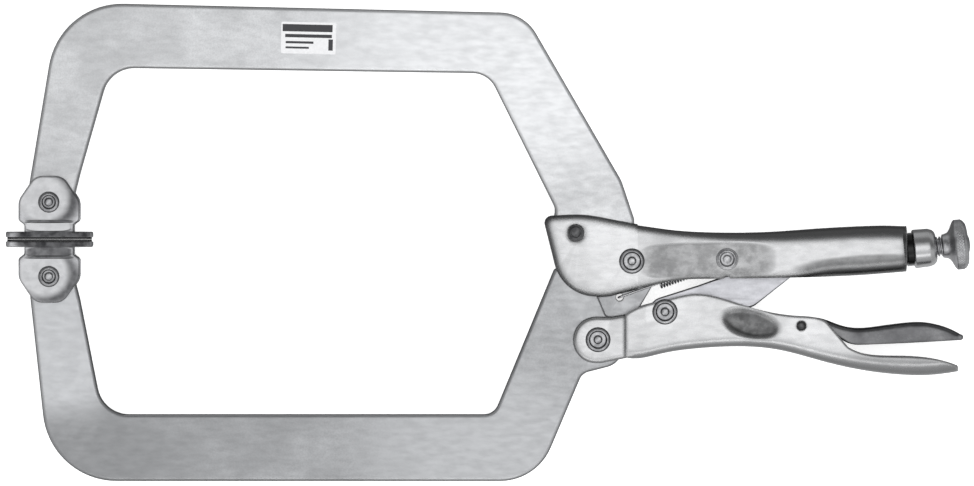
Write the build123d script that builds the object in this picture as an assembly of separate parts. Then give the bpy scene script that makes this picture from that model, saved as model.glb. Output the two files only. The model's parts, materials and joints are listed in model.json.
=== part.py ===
from build123d import *
import os
from math import atan2, cos, degrees, hypot, radians, sin

# Long-reach C-clamp locking pliers, 457 mm long, in millimetres.
# The pieces are drawn about the main jaw pivot: +X runs towards the adjusting knob, +Y towards the
# upper arm, and Z = 0 is the mid-plane of the jaws. Each piece is then moved so that the tool lies
# on its side with its origin under the centre of its bounding box.

# ---- pivots -------------------------------------------------------------------------------------
JAW_PIVOT = (0, 0)
UPPER_JAW_RIVET = (-26.5, 13.3)
HANDLE_PIVOT = (-16.0, -37.2)
LINK_PIVOT = (15.6, -24.0)
LINK_NOSE = (80.0, 0.2)
LEVER_PIVOT = (80.1, -30.6)
SPRING_ANCHOR = (45.0, 0.9)
SPRING_HOOK = (-5.7, -17.1)
PAD_X = -275.8
PAD_MEETING_Y = 10.3

# ---- jaws ---------------------------------------------------------------------------------------
JAW_THICKNESS = 8.0
JAW_EDGE_RADIUS = 1.8

# ---- sheet-metal handles ------------------------------------------------------------------------
SHEET = 2.5
SIDE_PLAY = 0.12
NOSE_HALF_WIDTH = JAW_THICKNESS / 2 + SIDE_PLAY + SHEET
NOSE_RIM_RADIUS = 2.3
CASING_FRONT_X = 2.6
CASING_REAR_X = 130.0
CASING_STATIONS = 20
CASING_TOP = [(2.6, 17.0), (22, 14.4), (42, 13.5), (64, 13.8), (92, 15.7), (116, 16.8),
              (130, 16.6)]
CASING_BOTTOM = [(2.6, -13.0), (22, -9.0), (44, -8.3), (80, -7.7), (106, -6.8), (130, -5.0)]
CASING_HALF_WIDTH = [(2.6, NOSE_HALF_WIDTH), (8, NOSE_HALF_WIDTH), (24, 7.8), (44, 8.5),
                     (64, 9.4), (84, 10.0), (106, 10.1), (130, 9.9)]
CASING_CORNER = [(2.6, 3.2), (22, 3.5), (44, 4.6), (64, 5.8), (84, 7.2), (106, 7.7), (130, 7.6)]
CURL_RADIUS = 7.2
CURL_FROM = 66.0
CURL_FULL = 104.0
HANDLE_HALF_WIDTH = 8.9
HANDLE_SHEET = 2.3
EAR_PLAY = 0.15
EAR_RIM_RADIUS = 1.9
LEVER_HALF_WIDTH = 6.2
LEVER_SHEET = 1.8
LEVER_CREST_RADIUS = 2.6
LINK_THICKNESS = 7.0

# ---- adjusting screw, 3/8 inch, 16 threads to the inch -------------------------------------------
SCREW_TILT = 5.8
SCREW_RADIUS = 4.76
THREAD_CLEARANCE = 0.08
NOSE_RADIUS = 3.0
LINKAGE_CLEARANCE = 3.6
TIP_START = NOSE_RADIUS + LINKAGE_CLEARANCE
TIP_LENGTH = 6.0
TIP_RADIUS = 3.4
BUSH_START = 44.0
BUSH_END = 64.6
BUSH_RADIUS = 9.2
KNOB_START = 67.6
KNOB_LENGTH = 13.2
KNOB_RADIUS = 12.0
KNURLS = 28

# ---- rivets and pins ----------------------------------------------------------------------------
MAIN_SHANK = 3.2
PAD_SHANK = 3.0
PIN_SHANK = 1.8
ANCHOR_SHANK = 2.0
RUNNING_CLEARANCE = 0.05
TIGHT_CLEARANCE = 0.02
HEAD_HEIGHT = 1.5

# ---- swivel pads --------------------------------------------------------------------------------
PAD_LENGTH = 41.0
PAD_PLATE = 2.6
PAD_HEIGHT = 16.55
PAD_GAP = 2.1
PAD_SHEET = 1.9
PAD_SIDE_PLAY = 0.2

# ---- jaw spring ---------------------------------------------------------------------------------
SPRING_RADIUS = 3.0
SPRING_WIRE = 0.9
SPRING_LEAD = 20.0
SPRING_TAIL = 7.5

# ---- marking patch ------------------------------------------------------------------------------
PATCH_CENTRE = (-153.0, 105.6)
PATCH_SIZE = (26.0, 15.0)
PATCH_THICKNESS = 0.2


def rounded_face(corners):
    """Flat face from (x, y, corner radius) triples, in order round the outline."""
    points = [(x, y) for x, y, _ in corners]
    radii = [r for _, _, r in corners]
    return make_face(FilletPolyline(*points, radius=radii, close=True))


def slab(face, half_thickness):
    """The face made solid, as thick on both sides of the mid-plane."""
    return extrude(face, amount=half_thickness, both=True)


def drill(centre, radius, half_length=20):
    """A cutter along Z through the point."""
    return Pos(centre[0], centre[1], 0) * Cylinder(radius, 2 * half_length)


def flank(low, high):
    """A thick slice of space between two distances from the mid-plane, on both sides."""
    height = high - low
    middle = (high + low) / 2
    slice_above = Pos(-60, 0, middle) * Box(600, 400, height)
    slice_below = Pos(-60, 0, -middle) * Box(600, 400, height)
    return slice_above + slice_below


def break_edges(bar, half_thickness, radius):
    """Round the edges of a flat bar's two broad faces."""
    broad = [e for f in bar.faces().filter_by(Axis.Z) if abs(f.center().Z) > half_thickness - 0.1
             for e in f.outer_wire().edges()]
    return fillet(broad, radius)


def turned(profile):
    """A turned piece on the screw axis, from (distance, radius) points of its profile."""
    ends = [(profile[-1][0], 0), (profile[0][0], 0)]
    face = make_face(Polyline(*profile, *ends, close=True))
    solid = revolve(face, Axis.X)
    return Pos(LINK_NOSE[0], LINK_NOSE[1], 0) * Rot(0, 0, SCREW_TILT) * solid


# ---- jaws ---------------------------------------------------------------------------------------
def upper_jaw():
    """C-shaped upper bar, from its swivel tip to the foot inside the casing."""
    half = JAW_THICKNESS / 2
    arm = rounded_face([
        (-285.4, 18.5, 9.2), (-285.4, 36.0, 20), (-271.0, 122.6, 35), (-50.9, 117.5, 20),
        (-4.9, 38.2, 14), (1.2, 20.0, 0), (1.2, 12.3, 0), (-12.6, 12.3, 3), (-12.6, -1.5, 1),
        (-36.6, -1.5, 2), (-38.4, 10.0, 2), (-36.2, 25.0, 6), (-68.0, 89.0, 12),
        (-247.0, 91.6, 15), (-261.2, 41.7, 20), (-267.0, 18.5, 8.2)])
    bar = break_edges(slab(arm, half), half, JAW_EDGE_RADIUS)
    bar -= drill(UPPER_JAW_RIVET, MAIN_SHANK + TIGHT_CLEARANCE)
    bar -= drill((PAD_X, pad_pivot_y(1)), PAD_SHANK + RUNNING_CLEARANCE)
    return bar


def lower_jaw():
    """C-shaped lower bar, with the main pivot boss, the handle pivot and the spring tang."""
    half = JAW_THICKNESS / 2
    arm = rounded_face([
        (-285.0, 2.2, 9.2), (-285.2, -14.0, 20), (-275.4, -104.2, 35), (-45.0, -104.2, 26),
        (-23.4, -53.2, 6), (-4.4, -48.4, 10), (-3.4, -28.4, 5), (2.0, -25.0, 4),
        (11.4, -9.0, 10), (11.4, 11.4, 11), (-11.4, 11.4, 11), (-11.4, -2.6, 2.5),
        (-36.6, -3.4, 2), (-65.2, -72.6, 7), (-250.6, -72.6, 15), (-261.4, -18.0, 20),
        (-266.6, 2.2, 8.2)])
    bar = break_edges(slab(arm, half), half, JAW_EDGE_RADIUS)
    tang = rounded_face([
        (-17.6, -13.6, 1), (-12.4, -26.2, 2), (6.0, -29.0, 0), (14.0, -9.0, 0),
        (9.6, -9.8, 2), (0.0, -13.7, 6)])
    bar -= slab(tang, half + 1) & flank(half - 2.2, half + 1)
    bar -= drill(JAW_PIVOT, MAIN_SHANK + RUNNING_CLEARANCE)
    bar -= drill(HANDLE_PIVOT, MAIN_SHANK + RUNNING_CLEARANCE)
    bar -= drill(SPRING_HOOK, 1.7)
    bar -= drill((PAD_X, pad_pivot_y(-1)), PAD_SHANK + RUNNING_CLEARANCE)
    return bar


def eased_plate(face, thickness, radius, end_x):
    """Sheet-metal plate with its outer rim rounded, except along its rear end at end_x."""
    plate = extrude(face, amount=thickness)
    top = plate.faces().sort_by(Axis.Z)[-1]
    rim = [e for e in top.outer_wire().edges() if e.center().X < end_x]
    return fillet(rim, radius)


# ---- casing -------------------------------------------------------------------------------------
def through(stops, x):
    """Height at x of a smooth curve through (x, height) stops."""
    last = len(stops) - 2
    i = min(max(sum(x >= stop[0] for stop in stops) - 1, 0), last)
    (x0, y0), (x1, y1) = stops[i], stops[i + 1]
    before = stops[max(i - 1, 0)]
    after = stops[min(i + 2, last + 1)]
    step = x1 - x0
    slope0 = (y1 - before[1]) / (x1 - before[0])
    slope1 = (after[1] - y0) / (after[0] - x0)
    t = (x - x0) / step
    rise = y0 * (2 * t**3 - 3 * t**2 + 1) + y1 * (3 * t**2 - 2 * t**3)
    return rise + step * (slope0 * (t**3 - 2 * t**2 + t) + slope1 * (t**3 - t**2))


def casing_section(x):
    """Closed outline of the bent sheet at one place along the casing, open at the bottom."""
    top = through(CASING_TOP, x)
    bottom = through(CASING_BOTTOM, x)
    half_width = through(CASING_HALF_WIDTH, x)
    corner = through(CASING_CORNER, x)
    run = min(max((x - CURL_FROM) / (CURL_FULL - CURL_FROM), 0), 1)
    lip = radians(3 + 88 * run * run * (3 - 2 * run))
    wall_end = bottom + CURL_RADIUS * sin(min(lip, radians(90)))
    inner_width = half_width - SHEET
    inner_top = top - SHEET
    inner_corner = corner - SHEET
    centre = half_width - CURL_RADIUS

    def on_lip(radius, angle):
        return (centre + radius * cos(angle), wall_end - radius * sin(angle))

    outer_lip = [on_lip(CURL_RADIUS, 0), on_lip(CURL_RADIUS, lip / 2), on_lip(CURL_RADIUS, lip)]
    inner_radius = CURL_RADIUS - SHEET
    inner_lip = [on_lip(inner_radius, lip), on_lip(inner_radius, lip / 2), on_lip(inner_radius, 0)]
    bend = cos(radians(45))
    outer_bend = [(half_width, top - corner),
                  (half_width - corner * (1 - bend), top - corner * (1 - bend)),
                  (half_width - corner, top)]
    inner_bend = [(inner_width, inner_top - inner_corner),
                  (inner_width - inner_corner * (1 - bend), inner_top - inner_corner * (1 - bend)),
                  (inner_width - inner_corner, inner_top)]

    def left(points):
        return [(-u, v) for u, v in reversed(points)]

    edges = [
        ThreePointArc(*reversed(outer_lip)), Line(outer_lip[0], outer_bend[0]),
        ThreePointArc(*outer_bend), Line(outer_bend[2], left(outer_bend)[0]),
        ThreePointArc(*left(outer_bend)), Line(left(outer_bend)[2], left(outer_lip)[2]),
        ThreePointArc(*reversed(left(outer_lip))), Line(left(outer_lip)[0], left(inner_lip)[2]),
        ThreePointArc(*reversed(left(inner_lip))), Line(left(inner_lip)[0], left(inner_bend)[2]),
        ThreePointArc(*reversed(left(inner_bend))), Line(left(inner_bend)[0], inner_bend[2]),
        ThreePointArc(*reversed(inner_bend)), Line(inner_bend[0], inner_lip[2]),
        ThreePointArc(*reversed(inner_lip)), Line(inner_lip[0], outer_lip[2])]
    plane = Plane(origin=(x, 0, 0), x_dir=(0, 0, -1), z_dir=(1, 0, 0))
    return plane * make_face(edges)


def fixed_handle():
    """Sheet-steel casing: two flat nose plates, then a channel that curls into a tube."""
    spacing = (CASING_REAR_X - CASING_FRONT_X) / CASING_STATIONS
    places = [CASING_FRONT_X + i * spacing for i in range(CASING_STATIONS + 1)]
    channel = loft([casing_section(x) for x in places])
    nose = rounded_face([
        (11.0, 15.9, 0), (-23.0, 22.4, 60), (-42.2, 21.3, 3.5), (-32.9, -15.7, 20),
        (-12.0, -17.2, 20), (11.0, -11.2, 0)])
    plate = eased_plate(nose, SHEET, NOSE_RIM_RADIUS, 10.9)
    plate = Pos(0, 0, NOSE_HALF_WIDTH - SHEET) * plate
    plate -= Pos(13, 0, 0) * Box(20.4, 60, 30)
    casing = channel + plate + mirror(plate, Plane.XY)
    casing -= drill(JAW_PIVOT, MAIN_SHANK + TIGHT_CLEARANCE)
    casing -= drill(UPPER_JAW_RIVET, MAIN_SHANK + TIGHT_CLEARANCE)
    casing -= drill(SPRING_ANCHOR, ANCHOR_SHANK + TIGHT_CLEARANCE)
    casing -= drill((SPRING_ANCHOR[0], -8.6), 1.6)
    return casing


def screw_bush():
    """Threaded bush crimped into the rear of the casing, with the collar behind it."""
    bush = turned([
        (BUSH_START, 6.9), (BUSH_START + 0.6, 7.5), (50.6, 7.5), (50.6, 7.9), (53.6, 7.9),
        (53.8, BUSH_RADIUS - 0.5), (54.4, BUSH_RADIUS), (BUSH_END - 3.4, BUSH_RADIUS - 0.2),
        (BUSH_END - 1.4, BUSH_RADIUS - 0.9), (BUSH_END - 0.3, BUSH_RADIUS - 2.0),
        (BUSH_END, BUSH_RADIUS - 3.0)])
    bore = turned([(BUSH_START - 1, SCREW_RADIUS + THREAD_CLEARANCE),
                   (BUSH_END + 1, SCREW_RADIUS + THREAD_CLEARANCE)])
    return bush - bore


# ---- lower handle, link and lever ---------------------------------------------------------------
def trough_section(x, bottom, corner):
    """Closed outline of the lower handle's bent sheet at one place, with overlong side walls."""
    outer = rounded_face([
        (-HANDLE_HALF_WIDTH, 0, 0), (-HANDLE_HALF_WIDTH, bottom, corner),
        (HANDLE_HALF_WIDTH, bottom, corner), (HANDLE_HALF_WIDTH, 0, 0)])
    inner_width = HANDLE_HALF_WIDTH - HANDLE_SHEET
    inner_corner = corner - HANDLE_SHEET
    inner = rounded_face([
        (-inner_width, 1, 0), (-inner_width, bottom + HANDLE_SHEET, inner_corner),
        (inner_width, bottom + HANDLE_SHEET, inner_corner), (inner_width, 1, 0)])
    plane = Plane(origin=(x, 0, 0), x_dir=(0, 0, -1), z_dir=(1, 0, 0))
    return plane * outer, plane * inner


def lower_handle():
    """Sheet-steel channel, open towards the casing, with flattened ears round its front pivot."""
    belly = [(-3.0, -45.6, 4.2), (13.7, -43.9, 4.3), (32.7, -41.2, 4.5), (51.7, -40.4, 4.8),
             (70.6, -42.2, 5.2), (89.6, -47.2, 5.8), (108.5, -51.5, 6.6), (127.5, -53.8, 7.4),
             (141.0, -54.0, 7.8), (155.0, -52.2, 7.8)]
    sections = [trough_section(*station) for station in belly]
    trough = loft([outer for outer, _ in sections]) - loft([inner for _, inner in sections])
    side = make_face([
        Line((-3.0, -60.0), (154.6, -60.0)), Line((154.6, -60.0), (154.6, -50.6)),
        ThreePointArc((154.6, -50.6), (154.2, -49.6), (153.2, -49.0)),
        Spline((153.2, -49.0), (141.0, -45.9), (127.5, -45.0), (108.5, -43.4), (102.2, -40.6)),
        Line((102.2, -40.6), (92.0, -28.6)),
        Spline((92.0, -28.6), (88.0, -26.9), (80.0, -26.1), (68.0, -24.7), (52.0, -20.6),
               (40.0, -16.9), (29.0, -15.6), (16.0, -18.4), (4.3, -21.4), (-3.0, -25.2)),
        Line((-3.0, -25.2), (-3.0, -60.0))])
    plan = rounded_face([
        (-3.0, -HANDLE_HALF_WIDTH - 1, 0), (154.6, -HANDLE_HALF_WIDTH - 0.2, 6.5),
        (154.6, HANDLE_HALF_WIDTH + 0.2, 6.5), (-3.0, HANDLE_HALF_WIDTH + 1, 0)])
    channel = trough & slab(side, 20) & (Rot(90, 0, 0) * slab(plan, 80))
    channel -= thumb_hollow(1) + thumb_hollow(-1)
    ear = rounded_face([
        (-2.2, -25.0, 0), (-2.2, -45.8, 0), (-14.5, -48.3, 4), (-27.8, -48.3, 10.8),
        (-27.8, -26.3, 10.8), (-10.0, -26.3, 3)])
    plate = eased_plate(ear, HANDLE_SHEET, EAR_RIM_RADIUS, -2.5)
    inner_ear = JAW_THICKNESS / 2 + EAR_PLAY
    plate = Pos(0, 0, inner_ear) * plate
    step = Pos(0, 0, inner_ear) * extrude(rounded_face([
        (-3.2, -25.4, 0), (-3.2, -45.6, 0), (1.0, -44.9, 0), (1.0, -23.6, 0)]),
        HANDLE_HALF_WIDTH - 0.6 - inner_ear)
    side_parts = plate + step
    handle = channel + side_parts + mirror(side_parts, Plane.XY)
    handle -= drill(HANDLE_PIVOT, MAIN_SHANK + TIGHT_CLEARANCE)
    handle -= drill(LINK_PIVOT, MAIN_SHANK + TIGHT_CLEARANCE)
    handle -= drill(LEVER_PIVOT, PIN_SHANK + TIGHT_CLEARANCE)
    return handle


def thumb_hollow(side):
    """Shallow oval dish pressed into one flank of the lower handle."""
    dish = scale(Sphere(1), by=(13.0, 6.6, 1.3))
    return Pos(56.0, -29.6, side * (HANDLE_HALF_WIDTH + 0.05)) * Rot(0, 0, -14) * dish


def toggle_link():
    """Thick link from the lower handle to the screw's tip, with a belly for the release lever."""
    length = hypot(LINK_NOSE[0] - LINK_PIVOT[0], LINK_NOSE[1] - LINK_PIVOT[1])
    angle = degrees(atan2(LINK_NOSE[1] - LINK_PIVOT[1], LINK_NOSE[0] - LINK_PIVOT[0]))
    tip = length + NOSE_RADIUS
    face = rounded_face([
        (-7.4, 7.4, 7.2), (-7.4, -7.4, 7.2), (14.0, -8.4, 12), (40.0, -12.6, 8),
        (62.0, -5.6, 10), (tip, -NOSE_RADIUS, 2.9), (tip, NOSE_RADIUS, 2.9), (50.0, 5.6, 20),
        (20.0, 6.0, 20)])
    half = LINK_THICKNESS / 2
    link = break_edges(slab(face, half), half, 0.8)
    link = Pos(LINK_PIVOT[0], LINK_PIVOT[1], 0) * Rot(0, 0, angle) * link
    return link - drill(LINK_PIVOT, MAIN_SHANK + RUNNING_CLEARANCE)


def release_lever():
    """Folded lever: a finger tail between the handles and an arm under the toggle link."""
    face = make_face([
        Spline((59.0, -25.4), (70.0, -26.6), (80.0, -26.4), (90.0, -27.2), (99.0, -30.4),
               (108.5, -31.7), (118.0, -30.7), (128.0, -29.4), (137.0, -28.9), (147.0, -30.7),
               (155.6, -34.6)),
        ThreePointArc((155.6, -34.6), (156.8, -36.2), (155.2, -37.4)),
        Spline((155.2, -37.4), (146.5, -37.9), (127.5, -38.9), (110.0, -39.6), (103.0, -39.0),
               (96.5, -35.6), (88.0, -35.2), (80.0, -35.0), (70.0, -32.4), (59.0, -29.6)),
        Line((59.0, -29.6), (59.0, -25.4))])
    lever = slab(face, LEVER_HALF_WIDTH)
    hollow = make_face([
        Spline((64.0, -29.0), (80.0, -29.2), (90.0, -29.8), (99.0, -32.8), (108.5, -34.0),
               (118.0, -33.0), (128.0, -31.7), (137.0, -31.2), (147.0, -33.2)),
        Line((147.0, -33.2), (147.0, -50.0)), Line((147.0, -50.0), (64.0, -50.0)),
        Line((64.0, -50.0), (64.0, -29.0))])
    lever -= slab(hollow, LEVER_HALF_WIDTH - LEVER_SHEET)
    crest = [e for e in lever.edges() if abs(e.center().Z) > LEVER_HALF_WIDTH - 0.1
             and e.length > 80 and e.center().Y > -33.5]
    lever = fillet(crest, LEVER_CREST_RADIUS)
    return lever - drill(LEVER_PIVOT, PIN_SHANK + RUNNING_CLEARANCE)


# ---- adjusting screw ----------------------------------------------------------------------------
def screw_tip():
    """Rounded bearing tip in front of the adjusting screw."""
    end = TIP_START + TIP_LENGTH
    return turned([(TIP_START, 1.6), (TIP_START + 0.5, 2.6), (TIP_START + 1.4, TIP_RADIUS),
                   (end, TIP_RADIUS)])


def adjusting_screw():
    """Screw shank and its knurled knob, in one piece."""
    shank_start = TIP_START + TIP_LENGTH + 0.05
    end = KNOB_START + KNOB_LENGTH
    screw = turned([
        (shank_start, SCREW_RADIUS - 0.8), (shank_start + 0.8, SCREW_RADIUS),
        (KNOB_START - 1.0, SCREW_RADIUS), (KNOB_START, 5.6), (KNOB_START + 2.4, 6.0),
        (KNOB_START + 4.6, 8.2), (KNOB_START + 5.6, KNOB_RADIUS - 0.8),
        (KNOB_START + 6.4, KNOB_RADIUS), (end - 3.6, KNOB_RADIUS), (end - 2.6, KNOB_RADIUS - 0.7),
        (end - 1.4, KNOB_RADIUS - 2.4), (end - 0.5, KNOB_RADIUS - 4.6), (end, KNOB_RADIUS - 7.2)])
    groove = Pos(KNOB_START + 8.2, KNOB_RADIUS + 0.45, 0) * Rot(0, 90, 0) * Cylinder(1.0, 8)
    cutters = [Rot(360 * (i + 0.5) / KNURLS, 0, 0) * groove for i in range(KNURLS)]
    place = Pos(LINK_NOSE[0], LINK_NOSE[1], 0) * Rot(0, 0, SCREW_TILT)
    return screw - [place * c for c in cutters]


# ---- swivel pads --------------------------------------------------------------------------------
def pad_pivot_y(side):
    """Height of a pad's pivot: side is 1 for the upper pad and -1 for the lower one."""
    return PAD_MEETING_Y + side * (PAD_GAP / 2 + PAD_HEIGHT)


def swivel_pad(side):
    """Pressed pad: a clamping plate with two ears folded up beside the jaw's tip."""
    inner = JAW_THICKNESS / 2 + PAD_SIDE_PLAY
    outer = inner + PAD_SHEET
    web = PAD_HEIGHT - PAD_PLATE
    ear = rounded_face([
        (-11.6, -web - 1, 0), (-11.6, -10.6, 1.5), (-14.4, -8.6, 2), (-14.4, 1.0, 8),
        (-6.6, 12.4, 7), (6.6, 12.4, 7), (14.4, 1.0, 8), (14.4, -8.6, 2), (11.6, -10.6, 1.5),
        (11.6, -web - 1, 0)])
    ears = slab(ear, outer)
    rim = [e for f in ears.faces().filter_by(Axis.Z) for e in f.outer_wire().edges()
           if e.center().Y > -web]
    ears = fillet(rim, 0.9)
    plate = Pos(0, -web - PAD_PLATE / 2, 0) * Box(PAD_LENGTH, PAD_PLATE, 2 * outer)
    plate = fillet(plate.edges().filter_by(Axis.Y), 2.5)
    plate = fillet(plate.faces().sort_by(Axis.Y)[-1].edges(), 0.8)
    pad = ears + plate
    pad -= Pos(0, 20 - web, 0) * Box(60, 40, 2 * inner)
    pad -= drill((0, 0), PAD_SHANK + TIGHT_CLEARANCE)
    if side < 0:
        pad = Rot(180, 0, 0) * pad
    return Pos(PAD_X, pad_pivot_y(side), 0) * pad


# ---- rivets and pins ----------------------------------------------------------------------------
def rivet(centre, shank, reach, head_radius, head_height=HEAD_HEIGHT, dished=True):
    """Rivet across the tool: reach is the distance from the mid-plane to the sheet it grips."""
    top = reach + head_height
    floor = top - 0.6 * head_height
    crown = [(head_radius - 0.5, top - 0.35), (head_radius, reach + 0.5), (head_radius, reach)]
    if dished:
        middle = [(0, top - 0.1), (1.5, top - 0.25), (2.1, floor),
                  (head_radius - 2.2, floor), (head_radius - 1.5, top)]
    else:
        middle = [(0, top), (head_radius - 1.2, top - 0.1)]
    half = [*middle, *crown, (shank, reach), (shank, 0), (0, 0)]
    face = make_face(Polyline(*half, close=True))
    upper = revolve(Plane.XZ * face, Axis.Z)
    whole = upper + mirror(upper, Plane.XY)
    return Pos(centre[0], centre[1], 0) * whole


def jaw_pivot_rivet():
    """Main pivot of the lower jaw in the casing."""
    return rivet(JAW_PIVOT, MAIN_SHANK, NOSE_HALF_WIDTH, 6.0)


def upper_jaw_rivet():
    """Low rivet that holds the upper jaw in the casing."""
    return rivet(UPPER_JAW_RIVET, MAIN_SHANK, NOSE_HALF_WIDTH, 3.9, 0.7)


def handle_pivot_rivet():
    """Pivot between the lower jaw and the lower handle's ears."""
    return rivet(HANDLE_PIVOT, MAIN_SHANK, JAW_THICKNESS / 2 + EAR_PLAY + HANDLE_SHEET, 5.9)


def link_rivet():
    """Pivot between the lower handle and the toggle link."""
    return rivet(LINK_PIVOT, MAIN_SHANK, HANDLE_HALF_WIDTH, 6.0)


def release_lever_pin():
    """Small pin that carries the release lever."""
    return rivet(LEVER_PIVOT, PIN_SHANK, HANDLE_HALF_WIDTH, 2.3, 0.4, dished=False)


def spring_anchor_pin():
    """Cross pin in the casing that holds the rear hook of the jaw spring."""
    reach = through(CASING_HALF_WIDTH, SPRING_ANCHOR[0])
    return rivet(SPRING_ANCHOR, ANCHOR_SHANK, reach, 5.2, 0.9)


def pad_rivet(side):
    """Pivot of a swivel pad on its jaw's tip."""
    reach = JAW_THICKNESS / 2 + PAD_SIDE_PLAY + PAD_SHEET
    return rivet((PAD_X, pad_pivot_y(side)), PAD_SHANK, reach, 5.0, 1.3)


# ---- spring and marking -------------------------------------------------------------------------
def jaw_spring():
    """Envelope of the extension spring between the jaw's hook hole and the anchor pin."""
    run_x = SPRING_ANCHOR[0] - SPRING_HOOK[0]
    run_y = SPRING_ANCHOR[1] - SPRING_HOOK[1]
    length = hypot(run_x, run_y)
    coil_length = length - SPRING_LEAD - SPRING_TAIL
    coil = Cylinder(SPRING_RADIUS, coil_length)
    coil -= Cylinder(SPRING_RADIUS - SPRING_WIRE, coil_length + 1)
    coil = Pos(SPRING_LEAD + coil_length / 2, 0, 0) * Rot(0, 90, 0) * coil
    slope = degrees(atan2(run_y, run_x))
    return Pos(SPRING_HOOK[0], SPRING_HOOK[1], 0) * Rot(0, 0, slope) * coil


def marking_patch():
    """Thin patch on the upper arm's flat side."""
    patch = Box(PATCH_SIZE[0], PATCH_SIZE[1], PATCH_THICKNESS)
    patch = fillet(patch.edges().filter_by(Axis.Z), 0.8)
    height = JAW_THICKNESS / 2 + PATCH_THICKNESS / 2
    return Pos(PATCH_CENTRE[0], PATCH_CENTRE[1], height) * Rot(0, 0, -1.3) * patch


def build():
    """Every piece of the tool by node name, in the tool's own frame."""
    nodes = {
        "fixed_handle": fixed_handle(),
        "screw_bush": screw_bush(),
        "upper_jaw": upper_jaw(),
        "upper_jaw_rivet": upper_jaw_rivet(),
        "jaw_pivot_rivet": jaw_pivot_rivet(),
        "spring_anchor_pin": spring_anchor_pin(),
        "marking_patch": marking_patch(),
        "lower_jaw": lower_jaw(),
        "jaw_spring": jaw_spring(),
        "lower_handle": lower_handle(),
        "handle_pivot_rivet": handle_pivot_rivet(),
        "link_rivet": link_rivet(),
        "release_lever_pin": release_lever_pin(),
        "toggle_link": toggle_link(),
        "release_lever": release_lever(),
        "screw_tip": screw_tip(),
        "adjusting_screw": adjusting_screw(),
        "upper_pad": swivel_pad(1),
        "upper_pad_rivet": pad_rivet(1),
        "lower_pad": swivel_pad(-1),
        "lower_pad_rivet": pad_rivet(-1),
    }
    boxes = [piece.bounding_box() for piece in nodes.values()]
    low = [min(b.min.X for b in boxes), min(b.min.Y for b in boxes), min(b.min.Z for b in boxes)]
    high = [max(b.max.X for b in boxes), max(b.max.Y for b in boxes)]
    shift = (-(low[0] + high[0]) / 2, -(low[1] + high[1]) / 2, -low[2])
    return {name: Pos(*shift) * piece for name, piece in nodes.items()}, shift


NODES, MAIN_PIVOT = build()
os.makedirs("parts", exist_ok=True)
for name, piece in NODES.items():
    export_step(piece, f"parts/{name}.step")
print("main jaw pivot in the tool's frame:", [round(v, 3) for v in MAIN_PIVOT])
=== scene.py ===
import bpy
import bmesh
import json
from collections import namedtuple
from math import cos, pi, radians, sin
from mathutils import Matrix, Vector

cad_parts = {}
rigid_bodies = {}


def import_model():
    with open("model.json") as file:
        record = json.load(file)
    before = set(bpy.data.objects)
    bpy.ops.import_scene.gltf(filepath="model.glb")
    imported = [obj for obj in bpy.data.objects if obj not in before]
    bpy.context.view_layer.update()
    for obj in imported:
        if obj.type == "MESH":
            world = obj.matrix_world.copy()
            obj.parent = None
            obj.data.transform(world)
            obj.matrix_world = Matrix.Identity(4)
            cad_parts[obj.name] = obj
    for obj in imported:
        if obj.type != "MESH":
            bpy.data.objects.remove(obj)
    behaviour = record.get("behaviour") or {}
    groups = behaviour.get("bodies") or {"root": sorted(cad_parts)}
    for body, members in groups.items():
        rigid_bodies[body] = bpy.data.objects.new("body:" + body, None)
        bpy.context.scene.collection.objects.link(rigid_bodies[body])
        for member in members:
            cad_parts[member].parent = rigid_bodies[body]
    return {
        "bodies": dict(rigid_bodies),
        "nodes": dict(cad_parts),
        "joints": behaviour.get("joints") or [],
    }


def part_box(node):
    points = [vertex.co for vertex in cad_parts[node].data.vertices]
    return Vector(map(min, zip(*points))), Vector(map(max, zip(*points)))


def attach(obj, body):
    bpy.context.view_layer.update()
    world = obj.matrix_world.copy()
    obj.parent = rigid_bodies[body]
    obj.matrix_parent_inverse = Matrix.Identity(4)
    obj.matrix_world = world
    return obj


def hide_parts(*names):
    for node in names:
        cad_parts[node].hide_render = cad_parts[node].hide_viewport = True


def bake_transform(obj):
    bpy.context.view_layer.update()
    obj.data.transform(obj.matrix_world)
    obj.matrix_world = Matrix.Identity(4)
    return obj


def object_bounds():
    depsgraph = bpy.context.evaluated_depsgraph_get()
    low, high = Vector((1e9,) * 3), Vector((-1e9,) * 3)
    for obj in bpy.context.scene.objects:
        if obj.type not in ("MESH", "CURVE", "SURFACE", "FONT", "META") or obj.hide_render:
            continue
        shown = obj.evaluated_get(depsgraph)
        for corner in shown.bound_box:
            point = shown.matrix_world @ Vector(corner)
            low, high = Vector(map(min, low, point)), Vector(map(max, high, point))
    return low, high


bl_info = {
    "name": "Locking Clamp Pliers",
    "version": (1, 0, 0),
    "blender": (4, 5, 0),
    "location": "View3D > Sidebar > Clamp",
    "description": "Detailed pieces, metal finishes and a studio for long-reach locking pliers",
    "category": "Object",
}

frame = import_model()
CAD_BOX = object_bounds()
NODES = frame["nodes"]
JOINTS = {joint["name"]: joint for joint in frame["joints"]}
JAW_PIVOT = Vector(JOINTS["jaw_open"]["pos_m"])
SCREW_ORIGIN = Vector(JOINTS["screw_turn"]["pos_m"])
SCREW_AXIS = Vector(JOINTS["screw_turn"]["axis"]).normalized()
MM = 0.001

# ---- fixed values -------------------------------------------------------------------------------
# noise scales of the finishes, in features per metre
FINE_GRAIN = 1400.0
INK_PATCHES = 900.0
BRUSHING = 420.0
STIPPLE = 230.0
FLOOR_CLOUDS = 9.0

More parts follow.
